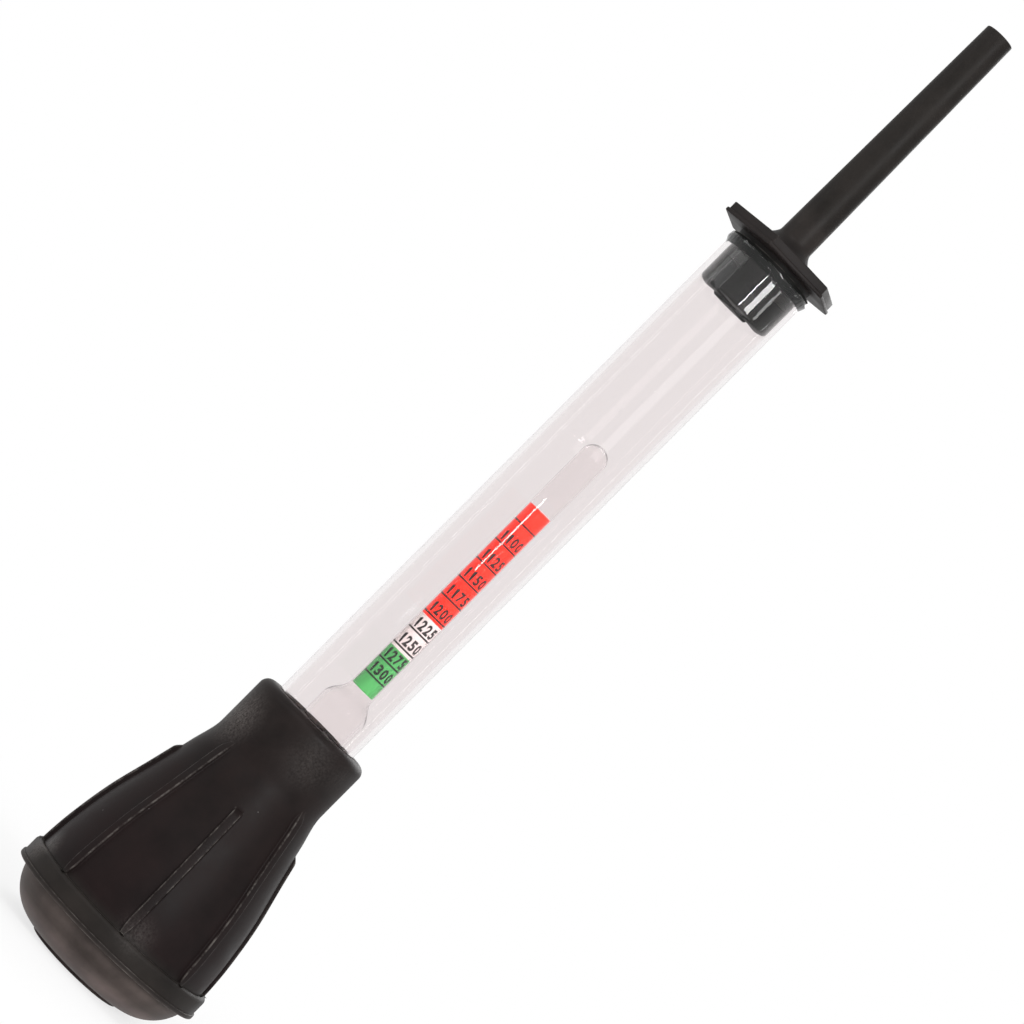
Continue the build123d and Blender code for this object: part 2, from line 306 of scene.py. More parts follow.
paperFinish = {
    "green": "#449f55",
    "white": "#d0cdcb",
    "red": "#ff2304",
    "zones": (0.0, 106.7, 117.2),  # mm above the foot, where green, white and red start
    "fibreSize": 0.4,  # mm, drawn coarse enough to show
    "fibreNoise": (0.3, 0.7),
    "fibreShares": (0.96, 1.03),  # how far a fibre darkens and lightens the tone
    "roughness": 0.75,
    "specular": 0.3,
}
# The black is thin, so the colour under it shows a little
inkFinish = paperFinish | {
    "green": "#0a130b",
    "white": "#100c0c",
    "red": "#290604",
    "fibreSize": 0.5,
    "roughness": 0.65,
}


def bandedPrint(name, finish, low, high):
    # Offset print on a matt slip: flat bands of one tone each by their height, with a little paper fibre
    material, tree = newMaterial(name)
    place = addNode(tree, "ShaderNodeTexCoord", {}).outputs["Object"]
    height = addNode(tree, "ShaderNodeSeparateXYZ", {"Vector": place}).outputs["Z"]
    share = addNode(tree, "ShaderNodeMapRange", {"Value": height, "From Min": low, "From Max": high})
    bands = addNode(tree, "ShaderNodeValToRGB", {"Fac": share.outputs["Result"]})
    colours = [finish[band] for band in ("green", "white", "red")]
    starts = [max(0.0, (z * mm - low) / (high - low)) for z in finish["zones"]]
    setRamp(bands, [(s, hexLinear(c)) for s, c in zip(starts, colours)], "CONSTANT")
    fibre = addNode(tree, "ShaderNodeTexNoise", {
        "Vector": place, "Scale": perMetre(finish["fibreSize"]), "Detail": 3.0})
    tone = addNode(tree, "ShaderNodeMapRange", {
        "Value": fibre.outputs["Fac"],
        "From Min": finish["fibreNoise"][0], "From Max": finish["fibreNoise"][1],
        "To Min": finish["fibreShares"][0], "To Max": finish["fibreShares"][1]})
    colour = addNode(tree, "ShaderNodeVectorMath", {
        0: bands.outputs["Color"], "Scale": tone.outputs["Result"]}, operation="SCALE")
    shader = addNode(tree, "ShaderNodeBsdfPrincipled", {
        "Base Color": colour.outputs["Vector"],
        "Roughness": finish["roughness"],
        "Specular IOR Level": finish["specular"],
    })
    closeMaterial(tree, shader.outputs["BSDF"])
    return material


# Steel balls as rolled, grey and bright; wax as poured, dull red and a little uneven. Sizes in mm
shotFinish = {
    "tones": ("#5c5c60", "#8b8b90"), "patch": 1.5, "roughness": 0.35, "metallic": 1.0, "depth": 0.02}
sealFinish = {
    "tones": ("#5a1712", "#7a2219"), "patch": 3.0, "roughness": 0.4, "metallic": 0.0, "depth": 0.05}
mottle = {"noise": (0.35, 0.65), "strength": 0.4}


def mottledSurface(name, finish):
    # Two tones of one colour in patches, with shallow dents
    material, tree = newMaterial(name)
    place = addNode(tree, "ShaderNodeTexCoord", {}).outputs["Object"]
    patches = addNode(tree, "ShaderNodeTexNoise", {
        "Vector": place, "Scale": perMetre(finish["patch"]), "Detail": 3.0})
    tone = addNode(tree, "ShaderNodeValToRGB", {"Fac": patches.outputs["Fac"]})
    setRamp(tone, [(level, hexLinear(colour)) for level, colour in zip(mottle["noise"], finish["tones"])])
    bump = addNode(tree, "ShaderNodeBump", {
        "Height": patches.outputs["Fac"], "Strength": mottle["strength"], "Distance": finish["depth"] * mm})
    shader = addNode(tree, "ShaderNodeBsdfPrincipled", {
        "Base Color": tone.outputs["Color"],
        "Roughness": finish["roughness"],
        "Metallic": finish["metallic"],
        "Normal": bump.outputs["Normal"],
    })
    closeMaterial(tree, shader.outputs["BSDF"])
    return material


slipLow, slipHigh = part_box("scale_slip")
materials = {
    "rubber": mouldedRubber(),
    "barrelGlass": clearGlass("drawnBarrelGlass", barrelFinish),
    "floatGlass": clearGlass("blownFloatGlass", floatFinish),
    "paper": bandedPrint("lithoPrintedPaper", paperFinish, slipLow.z, slipHigh.z),
    "ink": bandedPrint("blackPrintingInk", inkFinish, slipLow.z, slipHigh.z),
    "steel": mottledSurface("rolledSteelShot", shotFinish),
    "wax": mottledSurface("pouredSealingWax", sealFinish),
}
print("materials ready")


# Shapes that several pieces share


def arcThrough(start, middle, end, count):
    # Points along the circle through three points, both ends included
    (ax, ay), (bx, by), (cx, cy) = start, middle, end
    d = 2 * (ax * (by - cy) + bx * (cy - ay) + cx * (ay - by))
    ux = ((ax**2 + ay**2) * (by - cy) + (bx**2 + by**2) * (cy - ay) + (cx**2 + cy**2) * (ay - by)) / d
    uy = ((ax**2 + ay**2) * (cx - bx) + (bx**2 + by**2) * (ax - cx) + (cx**2 + cy**2) * (bx - ax)) / d
    radius = math.hypot(ax - ux, ay - uy)
    first = math.atan2(ay - uy, ax - ux)
    last = math.atan2(cy - uy, cx - ux)
    sweep = (last - first + math.pi) % (2 * math.pi) - math.pi
    steps = [first + sweep * i / count for i in range(count + 1)]
    return [(ux + radius * math.cos(a), uy + radius * math.sin(a)) for a in steps]


def cornerArc(before, corner, after, radius, count):
    # A round corner between two sides, made as a curve that leaves along each side
    b, c, a = Vector(before), Vector(corner), Vector(after)
    start = c + (b - c).normalized() * radius
    end = c + (a - c).normalized() * radius
    pull = 0.55
    points = interpolate_bezier(start, start.lerp(c, pull), end.lerp(c, pull), end, count + 1)
    return [(p.x, p.y) for p in points]


def smoothCurve(start, startPull, endPull, end, count):
    # A curve between two points that leaves and arrives along its pulls
    a, b = Vector(start), Vector(end)
    points = interpolate_bezier(a, a + Vector(startPull), b + Vector(endPull), b, count + 1)
    return [(p.x, p.y) for p in points]


def addOutline(bm, points, angle, closed=False):
    # An outline of radius and height in millimetres becomes a chain of edges at one angle round Z
    turn = Matrix.Rotation(angle, 3, "Z")
    verts = [bm.verts.new(turn @ Vector((r * mm, 0.0, z * mm))) for r, z in points]
    ring = verts + verts[:1] if closed else verts
    edges = [bm.edges.new(pair) for pair in zip(ring, ring[1:])]
    return verts + edges


def fullSpin(points, steps, closed=False):
    bm = bmesh.new()
    geometry = addOutline(bm, points, 0.0, closed)
    bmesh.ops.spin(bm, geom=geometry, cent=(0, 0, 0), axis=(0, 0, 1), angle=2 * math.pi,
                   steps=steps, use_merge=True)
    bmesh.ops.remove_doubles(bm, verts=bm.verts, dist=weld)
    bmesh.ops.recalc_face_normals(bm, faces=bm.faces)
    return bm


edgeWearAndHighlight = {
    "faceLimit": 1.5,  # square mm, wider faces stay clean
    "bends": (14.0, 32.0),  # degrees that an edge turns where its rubbing and painted highlight start and where they are full
}


def markWear(bm):
    # How sharp each outer edge is, kept on the corners of small faces; it steers the grey of wear and painted
    # highlight
    bm.normal_update()
    layer = bm.loops.layers.float.new("edgeWearAndHighlight")
    first, full = edgeWearAndHighlight["bends"]
    for face in bm.faces:
        if face.calc_area() > edgeWearAndHighlight["faceLimit"] * mm * mm:
            continue
        for loop in face.loops:
            bend = math.degrees(max(edge.calc_face_angle_signed(0.0) for edge in loop.vert.link_edges))
            loop[layer] = min(1.0, max(0.0, (bend - first) / (full - first)))


def makePiece(bm, name, body, material, replaced=(), sharpAngle=None):
    # The bmesh becomes an object that rides on its body and, where it has a solid, stands for it
    mesh = bpy.data.meshes.new(name)
    bm.to_mesh(mesh)
    bm.free()
    mesh.polygons.foreach_set("use_smooth", [True] * len(mesh.polygons))
    if sharpAngle is not None:
        mesh.set_sharp_from_angle(angle=math.radians(sharpAngle))
    mesh.materials.append(material)
    piece = bpy.data.objects.new(name, mesh)
    bpy.context.scene.collection.objects.link(piece)
    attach(piece, body)
    if replaced:
        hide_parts(*replaced)
    print(name, len(mesh.polygons), "faces")


# Squeeze bulb

bulbLow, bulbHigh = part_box("squeeze_bulb")
barrelLow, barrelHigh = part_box("glass_barrel")

bulb = {
    "top": bulbHigh.z / mm,
    "wall": 3.2,
    "footRadius": 13.5,
    "footHeight": 0.9,
    "footRound": 0.3,
    "domeRadius": 25.7,
    "domeTop": 10.6,
    "domeMiddle": (21.35, 3.55),  # radius and height of a point on the dome's arc
    "domeInnerShares": (0.62, 0.8),  # shares of the wall that put that point in and up on the inside
    "lipRadius": bulbHigh.x / mm,
    "lipThickness": 1.2,
    "lipRounds": (0.25, 0.2),
    "bandRadius": 27.8,
    "bandRows": (0.05, 0.4),  # rows this far above the lip keep the band's shading off it
    "bandTop": 16.4,
    "bandRound": 1.2,
    "grooveDepth": 0.45,
    # The groove over the band, out from the cone's foot and up from the groove's floor
    "groove": [(0.35, 0.12), (0.15, 0.0), (0.02, 0.1), (0.02, 0.55)],
    "coneRadius": 25.9,
    "coneLean": 0.7,  # share of the first slope with which the cone leaves the band
    "waist": 66.0,
    "neckRadius": 16.4,
    # How much of the flare from neck to band is left, by the share of the way up to the waist
    "coneShares": [(0.0, 1.0), (0.17, 0.93), (0.40, 0.74), (0.63, 0.44), (0.83, 0.19), (1.0, 0.0)],
    "neckRow": 70.4,
    "partingLine": 76.4,  # height of the fine ridge that the mould leaves on the neck
    "partingRise": 0.02,
    "partingWidth": 0.25,
    "mouthRound": 2.4,
    "leadIn": 0.4,
    "leadInRound": 0.1,
    "flash": [(-93.5, 4.5, 0.55), (-125.0, 3.5, 0.45)],  # degrees from X, half width in degrees, height
    "socketRadius": 12.05,
    "seat": barrelLow.z / mm - 0.05,
    "seatThickness": 3.5,
    "seatTaper": 1.5,
    "boreRadius": 10.65,
    "rowGap": 1.0,
    "leastGap": 0.08,  # rows nearer than this are one
    "innerRows": 16,
    "sharpAngle": 42.0,
}

ribs = {
    "pairs": 4,
    "turn": -12.2,  # degrees, from X to a short rib
    "height": 1.0,
    "reach": 1.6,  # mm from a rib's middle to where its root fillet ends
    "fineBand": 4.0,  # degrees each side of a rib that get fine steps
    "fineSteps": 8,
    "coarseSteps": 9,
    "shortEnd": 55.1,
    "longEnd": 64.5,
    "startShare": 0.5,
    "startLength": 4.5,
    "shortFade": 1.8,
    "longFade": 2.6,
    "longTaper": 0.45,  # share of its width that a long rib keeps at its end
    "firstRow": 0.3,  # mm above the band
    "footRows": (0.5, 1.5),  # mm above the first row
    "shortRows": (0.0, 0.25, 0.5, 0.75, 1.0),  # shares of the fade
    "longRows": (0.0, 0.15, 0.3, 0.5, 0.75, 1.0),
    # Half a rib's section from its middle outwards: shares of the reach and of the height
    "section": [(0.0, 1.0), (0.25, 1.0), (0.46, 1.0), (0.58, 0.97), (0.66, 0.84),
                (0.71, 0.52), (0.76, 0.18), (0.86, 0.03), (1.0, 0.0)],
}


def hermite(table, x, firstSlopeShare):
    # Smooth value between the rows of a table of (x, value), flat past its last row
    if x >= table[-1][0]:
        return table[-1][1]
    slopes = []
    for i in range(len(table)):
        before = table[max(i - 1, 0)]
        after = table[min(i + 1, len(table) - 1)]
        slopes.append((after[1] - before[1]) / (after[0] - before[0]))
    slopes[0] *= firstSlopeShare
    slopes[-1] = 0.0
    i = max(n for n, row in enumerate(table) if row[0] <= x)
    (x0, y0), (x1, y1) = table[i], table[i + 1]
    width = x1 - x0
    s = (x - x0) / width
    return ((2 * s**3 - 3 * s**2 + 1) * y0 + (s**3 - 2 * s**2 + s) * width * slopes[i]
            + (3 * s**2 - 2 * s**3) * y1 + (s**3 - s**2) * width * slopes[i + 1])


def coneRadius(height):
    share = (height - bulb["bandTop"]) / (bulb["waist"] - bulb["bandTop"])
    flare = bulb["coneRadius"] - bulb["neckRadius"]
    return bulb["neckRadius"] + flare * hermite(bulb["coneShares"], max(share, 0.0), bulb["coneLean"])


def coneRows():
    # Heights of the cone's rows: even ones, and close ones where the ribs start and end
    first, last = bulb["bandTop"] + ribs["firstRow"], bulb["waist"]
    count = round((last - first) / bulb["rowGap"])
    rows = [first + (last - first) * i / count for i in range(count + 1)]
    rows += [ribs["shortEnd"] - ribs["shortFade"] * share for share in ribs["shortRows"]]
    rows += [ribs["longEnd"] - ribs["longFade"] * share for share in ribs["longRows"]]
    rows += [first + rise for rise in ribs["footRows"]]
    rows.sort()
    kept = [rows[0]]
    for row in rows[1:]:
        if row - kept[-1] > bulb["leastGap"]:
            kept.append(row)
    return kept


def bulbOutside():
    b = bulb
    footTop = (b["footRadius"], b["footHeight"])
    domeEdge = (b["domeRadius"], b["domeTop"])
    lipLow = (b["lipRadius"], b["domeTop"])
    lipHigh = (b["lipRadius"], b["domeTop"] + b["lipThickness"])
    bandFoot = (b["bandRadius"], lipHigh[1])
    bandCorner = (b["bandRadius"], b["bandTop"])
    points = [(0.0, 0.0), (b["footRadius"] / 2, 0.0)]
    points += cornerArc((0, 0), (b["footRadius"], 0.0), footTop, b["footRound"], 3)
    points += arcThrough(footTop, b["domeMiddle"], domeEdge, 26)
    points += cornerArc(domeEdge, lipLow, lipHigh, b["lipRounds"][0], 3)
    points += cornerArc(lipLow, lipHigh, bandFoot, b["lipRounds"][1], 3)
    points += [(b["bandRadius"], lipHigh[1] + rise) for rise in b["bandRows"]]
    points += cornerArc(bandFoot, bandCorner, (b["coneRadius"], b["bandTop"]), b["bandRound"], 7)
    grooveFloor = b["bandTop"] - b["grooveDepth"]
    points += [(b["coneRadius"] + out, grooveFloor + up) for out, up in b["groove"]]
    points += [(coneRadius(height), height) for height in coneRows()]
    ridge = b["partingLine"]
    points += [(b["neckRadius"], b["neckRow"]), (b["neckRadius"], ridge - b["partingWidth"])]
    points += [(b["neckRadius"] + b["partingRise"], ridge), (b["neckRadius"], ridge + b["partingWidth"])]
    points += cornerArc((b["neckRadius"], ridge), (b["neckRadius"], b["top"]), (b["socketRadius"], b["top"]),
                        b["mouthRound"], 9)
    return points


def bulbInside():
    b = bulb
    leadInFoot = b["top"] - b["leadIn"]
    points = [(b["socketRadius"] + b["leadIn"], b["top"])]
    points += [(b["socketRadius"] + b["leadInRound"], leadInFoot + b["leadInRound"])]
    points += [(b["socketRadius"], leadInFoot - b["leadInRound"])]
    points += [(b["socketRadius"], b["seat"]), (b["boreRadius"], b["seat"])]
    seatFoot = b["seat"] - b["seatThickness"]
    points += [(b["boreRadius"], seatFoot)]
    wallTop, rows = seatFoot - b["seatTaper"], b["innerRows"]
    heights = [wallTop - (wallTop - b["bandTop"]) * i / rows for i in range(rows + 1)]
    points += [(coneRadius(height) - b["wall"], height) for height in heights]
    side = (b["domeRadius"] - b["wall"], b["domeTop"])
    inShare, upShare = b["domeInnerShares"]
    middle = (b["domeMiddle"][0] - b["wall"] * inShare, b["domeMiddle"][1] + b["wall"] * upShare)
    floorEdge = (b["footRadius"] - b["wall"] / 2, b["wall"])
    points += arcThrough(side, middle, floorEdge, 8)
    points += [(0.0, b["wall"])]
    return points


def ribPlace(angle):
    # Which rib is nearest, and how far round from its middle, in degrees
    step = 180 / ribs["pairs"]
    place = math.degrees(angle) - ribs["turn"]
    number = round(place / step)
    return number % 2 == 0, place - number * step, math.radians(ribs["turn"] + number * step)


def ribAlong(height, short):
    # Shares of a rib's width and height at one height of the cone
    end = ribs["shortEnd"] if short else ribs["longEnd"]
    fade = ribs["shortFade"] if short else ribs["longFade"]
    start = min(1.0, (height - bulb["bandTop"]) / ribs["startLength"])
    width = ribs["startShare"] + (1 - ribs["startShare"]) * math.sin(start * math.pi / 2)
    left = min(1.0, max(0.0, (end - height) / fade))
    rise = math.sin(left * math.pi / 2)
    if not short:
        width *= ribs["longTaper"] + (1 - ribs["longTaper"]) * rise
    return width, rise


def shapeRibs(bm):
    # The columns near a rib close up to its width and rise by its section, and the others spread evenly
    fine, half = ribs["fineBand"], 90 / ribs["pairs"]
    for vert in bm.verts:
        height = vert.co.z / mm
        radius = math.hypot(vert.co.x, vert.co.y) / mm
        if not bulb["bandTop"] < height < bulb["waist"] or radius < coneRadius(height) - bulb["wall"] / 2:
            continue
        short, offset, middle = ribPlace(math.atan2(vert.co.y, vert.co.x))
        width, rise = ribAlong(height, short)
        reach = math.degrees(ribs["reach"] * width / radius)
        column = round(abs(offset) * ribs["fineSteps"] / fine)
        if column <= ribs["fineSteps"]:
            across, up = ribs["section"][column]
            offset = math.copysign(across * reach, offset)
            radius += up * rise * ribs["height"]
        else:
            share = (abs(offset) - fine) / (half - fine)
            offset = math.copysign(reach + share * (half - reach), offset)
        turned = middle + math.radians(offset)
        vert.co.x = radius * mm * math.cos(turned)
        vert.co.y = radius * mm * math.sin(turned)


def addFlash(bm):
    # Two torn bits of flash stand on the mouth's inner edge
    edgeBottom = bulb["top"] - bulb["leadIn"] / 2
    edgeRadius = bulb["socketRadius"] + 2 * bulb["leadIn"]
    for vert in bm.verts:
        if vert.co.z / mm < edgeBottom or math.hypot(vert.co.x, vert.co.y) / mm > edgeRadius:
            continue
        angle = math.degrees(math.atan2(vert.co.y, vert.co.x))
        for middle, halfWidth, height in bulb["flash"]:
            away = abs(angle - middle) / halfWidth
            if away < 1.0:
                vert.co.z += height * mm * (1 - away**2)


def makeBulb():
    bm = bmesh.new()
    start = math.radians(ribs["turn"] - ribs["fineBand"])
    geometry = addOutline(bm, bulbOutside() + bulbInside(), start)
    for sector in range(4 * ribs["pairs"]):
        onRib = sector % 2 == 0
        angle = 2 * ribs["fineBand"] if onRib else 180 / ribs["pairs"] - 2 * ribs["fineBand"]
        steps = 2 * ribs["fineSteps"] if onRib else ribs["coarseSteps"]
        spun = bmesh.ops.spin(bm, geom=geometry, cent=(0, 0, 0), axis=(0, 0, 1),
                              angle=math.radians(angle), steps=steps, use_merge=False)
        geometry = spun["geom_last"]
    bmesh.ops.remove_doubles(bm, verts=bm.verts, dist=weld)
    bmesh.ops.recalc_face_normals(bm, faces=bm.faces)
    shapeRibs(bm)
    addFlash(bm)
    markWear(bm)
    makePiece(bm, "rubber_bulb", "bulb", materials["rubber"], ["squeeze_bulb"],
              bulb["sharpAngle"])


makeBulb()


# Glass barrel

barrel = {
    "radius": 12.0,
    "boreRadius": 10.65,
    "bottom": barrelLow.z / mm,
    "top": barrelHigh.z / mm,
    "beadRadius": barrelHigh.x / mm,
    "beadLength": 3.4,
    "beadPeakShare": 0.42,  # how far down its length the bead is widest
    "beadPulls": (0.7, 0.9, 0.5),  # mm that the bead's curves run straight on at its foot, peak and rim
    "plainGap": 0.4,  # a row this far under the bead keeps its ripple out of the plain wall's shading
    "rimRound": 0.45,
    "ripple": 0.16,  # mm, how deep the dents of the fire-polished bead are
    "rippleSize": 0.8,
    "rippleLevel": 0.1,  # the noise below this makes the dents
    "rows": 12,
    "steps": 224,
}


def makeBarrel():
    b = barrel
    outer, inner, top, bottom, rows = b["radius"], b["boreRadius"], b["top"], b["bottom"], b["rows"]
    footPull, peakPull, rimPull = b["beadPulls"]
    beadFoot = (outer, top - b["beadLength"])
    beadPeak = (b["beadRadius"], top - b["beadLength"] * b["beadPeakShare"])
    rimOuter = (outer - b["rimRound"] / 2, top)
    rimInner = (inner + b["rimRound"], top)
    plainTop = beadFoot[1] - b["plainGap"]
    points = cornerArc((inner, bottom), (outer, bottom), (outer, top), b["rimRound"], 4)
    points += [(outer, bottom + (plainTop - bottom) * i / rows) for i in range(1, rows + 1)]
    points += smoothCurve(beadFoot, (0.0, footPull), (0.0, -peakPull), beadPeak, 8)
    points += smoothCurve(beadPeak, (0.0, peakPull), (rimPull, 0.0), rimOuter, 8)[1:]
    points += cornerArc(rimInner, (inner, top), (inner, bottom), b["rimRound"], 5)
    points += [(inner, top - (top - bottom) * i / rows) for i in range(1, rows)]
    points += cornerArc((inner, top), (inner, bottom), (outer, bottom), b["rimRound"], 4)
    bm = fullSpin(points, b["steps"], closed=True)
    for vert in bm.verts:
        side = Vector((vert.co.x, vert.co.y, 0.0))
        if vert.co.z / mm > beadFoot[1] + b["plainGap"] / 4 and side.length > outer * mm:
            sway = noise.noise(vert.co * perMetre(b["rippleSize"]))
            vert.co += side.normalized() * min(0.0, sway - b["rippleLevel"]) * b["ripple"] * mm
    makePiece(bm, "glass_tube", "barrel", materials["barrelGlass"], ["glass_barrel"])


makeBarrel()


# Glass float

floatLow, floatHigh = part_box("float_glass")
floatMiddle = (floatLow + floatHigh) / 2

floatGlass = {
    "x": floatMiddle.x,
    "y": floatMiddle.y,
    "bottom": floatLow.z / mm,
    "top": floatHigh.z / mm,
    "radius": (floatHigh.x - floatLow.x) / 2 / mm,
    "wall": 0.85,
    "stemRadius": 3.6,
    "stemWall": 0.25,
    "tipWall": 0.45,
    "roundEnd": 6.65,  # height of the solid's round end, a little more than the radius of its faceted mesh
    "bodyLength": 58.6,  # its straight part, above the round end
    "shoulder": 6.7,
    "shoulderPull": 3.0,  # mm that the shoulder's curve runs straight on at both ends
    "steps": 160,
}


def floatOutline(inset, stemInset, tipInset):
    # The envelope's skin, moved in by a wall; the tip is thicker, where the glass was sealed off
    f = floatGlass
    body, stem = f["radius"] - inset, f["stemRadius"] - stemInset
    bottom, top = f["bottom"] + inset, f["top"] - tipInset
    roundTop = bottom + body
    bodyTop = f["bottom"] + f["roundEnd"] + f["bodyLength"]
    stemFoot = bodyTop + f["shoulder"]
    tipFoot = f["top"] - f["stemRadius"]
    half = math.sqrt(0.5)
    pull = f["shoulderPull"]
    points = arcThrough((0.0, bottom), (body * half, bottom + body * (1 - half)), (body, roundTop), 14)
    points += [(body, roundTop + (bodyTop - roundTop) * i / 6) for i in range(1, 6)]
    points += smoothCurve((body, bodyTop), (0.0, pull), (0.0, -pull), (stem, stemFoot), 18)
    points += [(stem, stemFoot + (tipFoot - stemFoot) * i / 12) for i in range(1, 12)]
    turns = [math.pi / 2 * i / 12 for i in range(13)]
    points += [(stem * math.cos(a), tipFoot + (top - tipFoot) * math.sin(a)) for a in turns]
    return points


def makeFloat():
    f = floatGlass
    bm = fullSpin(floatOutline(0.0, 0.0, 0.0), f["steps"])
    inside = fullSpin(floatOutline(f["wall"], f["stemWall"], f["tipWall"]), f["steps"])
    bmesh.ops.reverse_faces(inside, faces=inside.faces)
    hollow = bpy.data.meshes.new("floatHollow")
    inside.to_mesh(hollow)
    inside.free()
    bm.from_mesh(hollow)
    bpy.data.meshes.remove(hollow)
    bmesh.ops.translate(bm, verts=bm.verts, vec=(f["x"], f["y"], 0.0))
    makePiece(bm, "float_tube", "float", materials["floatGlass"], ["float_glass"])


makeFloat()


# Paper scale: a rolled slip, with its marks and numbers as thin films of ink on it

slip = {
    "radius": (slipHigh.x - slipLow.x) / 2 / mm,
    "thickness": 0.15,
    "bottom": slipLow.z / mm,
    "top": slipHigh.z / mm,
    "steps": 96,
    "sharpAngle": 40.0,
}

scaleMarks = {
    "first": 98.16,  # mm above the foot, where the 1300 mark is
    "spacing": 313.0,  # mm, the float's mass over its stem's area: what spaces the marks
    "values": range(1300, 1050, -25),  # grams in a litre
    "water": 1000,
    "numbered": 1100,  # the lowest value that has its number
    "facing": -13.5,  # degrees from -Y towards X that the numbers face
    "lineWidth": 0.46,
    "lineSweep": 270.0,  # degrees of the slip that a line goes round
    "digitHeight": 2.95,
    "digitWidth": 1.36,
    "oneWidth": 0.80,
    "digitPitch": 1.66,
    "boldness": 0.045,
    # The 1 with its flag, in shares of its width and height
    "one": [(0.38, 0.0), (1.0, 0.0), (1.0, 1.0), (0.62, 1.0), (0.0, 0.86), (0.0, 0.76), (0.38, 0.8)],
    "lift": 0.015,  # mm that the ink stands proud of the paper
    "numberGap": 0.35,  # mm from a line to the number above it
    "cutGap": 0.22,  # mm between the cuts that let the flat print bend round the slip
    "cutMerge": 1e-5,
}


def makeSlip():
    s = slip
    inner = s["radius"] - s["thickness"]
    corners = [(s["radius"], s["bottom"]), (s["radius"], s["top"]), (inner, s["top"]), (inner, s["bottom"])]
    bm = fullSpin(corners, s["steps"], closed=True)
    bmesh.ops.translate(bm, verts=bm.verts, vec=(floatGlass["x"], floatGlass["y"], 0.0))
    makePiece(bm, "paper_slip", "float", materials["paper"], ["scale_slip"], s["sharpAngle"])


def markHeight(value):
    # How deep a float sinks goes with one over the density of the acid
    m = scaleMarks
    return m["first"] + m["spacing"] * (m["water"] / value - m["water"] / m["values"][0])


def oneMesh():
    width, height = scaleMarks["oneWidth"], scaleMarks["digitHeight"]
    bm = bmesh.new()
    bm.faces.new([bm.verts.new(((x - 0.5) * width, y * height, 0.0)) for x, y in scaleMarks["one"]])
    bmesh.ops.triangulate(bm, faces=bm.faces)
    mesh = bpy.data.meshes.new("one")
    bm.to_mesh(mesh)
    bm.free()
    return mesh


def digitMesh(digit):
    # A digit as a flat mesh, narrow and bold as on such scales, on X and Y in millimetres
    if digit == "1":
        return oneMesh()
    curve = bpy.data.curves.new("digit", "FONT")
    curve.body = digit
    curve.offset = scaleMarks["boldness"]
    curve.resolution_u = 6
    letter = bpy.data.objects.new("digit", curve)
    bpy.context.scene.collection.objects.link(letter)
    bpy.context.view_layer.update()
    depsgraph = bpy.context.evaluated_depsgraph_get()
    mesh = bpy.data.meshes.new_from_object(letter.evaluated_get(depsgraph))
    bpy.data.objects.remove(letter)
    bpy.data.curves.remove(curve)
    xs = [v.co.x for v in mesh.vertices]
    ys = [v.co.y for v in mesh.vertices]
    width, height = max(xs) - min(xs), max(ys) - min(ys)
    stretch = (scaleMarks["digitWidth"] / width, scaleMarks["digitHeight"] / height, 1.0)
    centre = Vector(((max(xs) + min(xs)) / 2, min(ys), 0.0))
    mesh.transform(Matrix.Diagonal((*stretch, 1.0)) @ Matrix.Translation(-centre))
    return mesh


def wrapOnSlip(bm, verts):
    # X becomes the way round the slip and Y the height; millimetres become metres
    radius = slip["radius"] + scaleMarks["lift"]
    for vert in verts:
        angle = math.radians(scaleMarks["facing"]) + vert.co.x / slip["radius"]
        height = vert.co.y
        vert.co = Vector((floatGlass["x"] + radius * mm * math.sin(angle),
                          floatGlass["y"] - radius * mm * math.cos(angle), height * mm))


def makeScalePrint():
    bm = bmesh.new()
    m = scaleMarks
    lineLength = math.radians(m["lineSweep"]) * slip["radius"]
    for value in m["values"]:
        height = markHeight(value)
        line = bmesh.ops.create_grid(bm, x_segments=1, y_segments=1, size=0.5)["verts"]
        bmesh.ops.scale(bm, vec=(lineLength, m["lineWidth"], 1.0), verts=line)
        bmesh.ops.translate(bm, vec=(0.0, height, 0.0), verts=line)
        if value < m["numbered"]:
            continue
        digits = str(value)
        for place, digit in enumerate(digits):
            mesh = digitMesh(digit)
            x = (place - (len(digits) - 1) / 2) * m["digitPitch"]
            mesh.transform(Matrix.Translation((x, height + m["lineWidth"] / 2 + m["numberGap"], 0.0)))
            bm.from_mesh(mesh)
            bpy.data.meshes.remove(mesh)
    cuts = int(lineLength / m["cutGap"])
    for cut in range(1, cuts):
        x = lineLength * (cut / cuts - 0.5)
        bmesh.ops.bisect_plane(bm, geom=bm.verts[:] + bm.edges[:] + bm.faces[:],
                               plane_co=(x, 0, 0), plane_no=(1, 0, 0), dist=m["cutMerge"])
    wrapOnSlip(bm, bm.verts)
    makePiece(bm, "scale_print", "float", materials["ink"])


makeSlip()
makeScalePrint()


# Nozzle stopper

nozzleLow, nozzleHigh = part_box("nozzle_stopper")
flangeLip = 0.5  # mm, the flange's edge towards the barrel stands this far proud

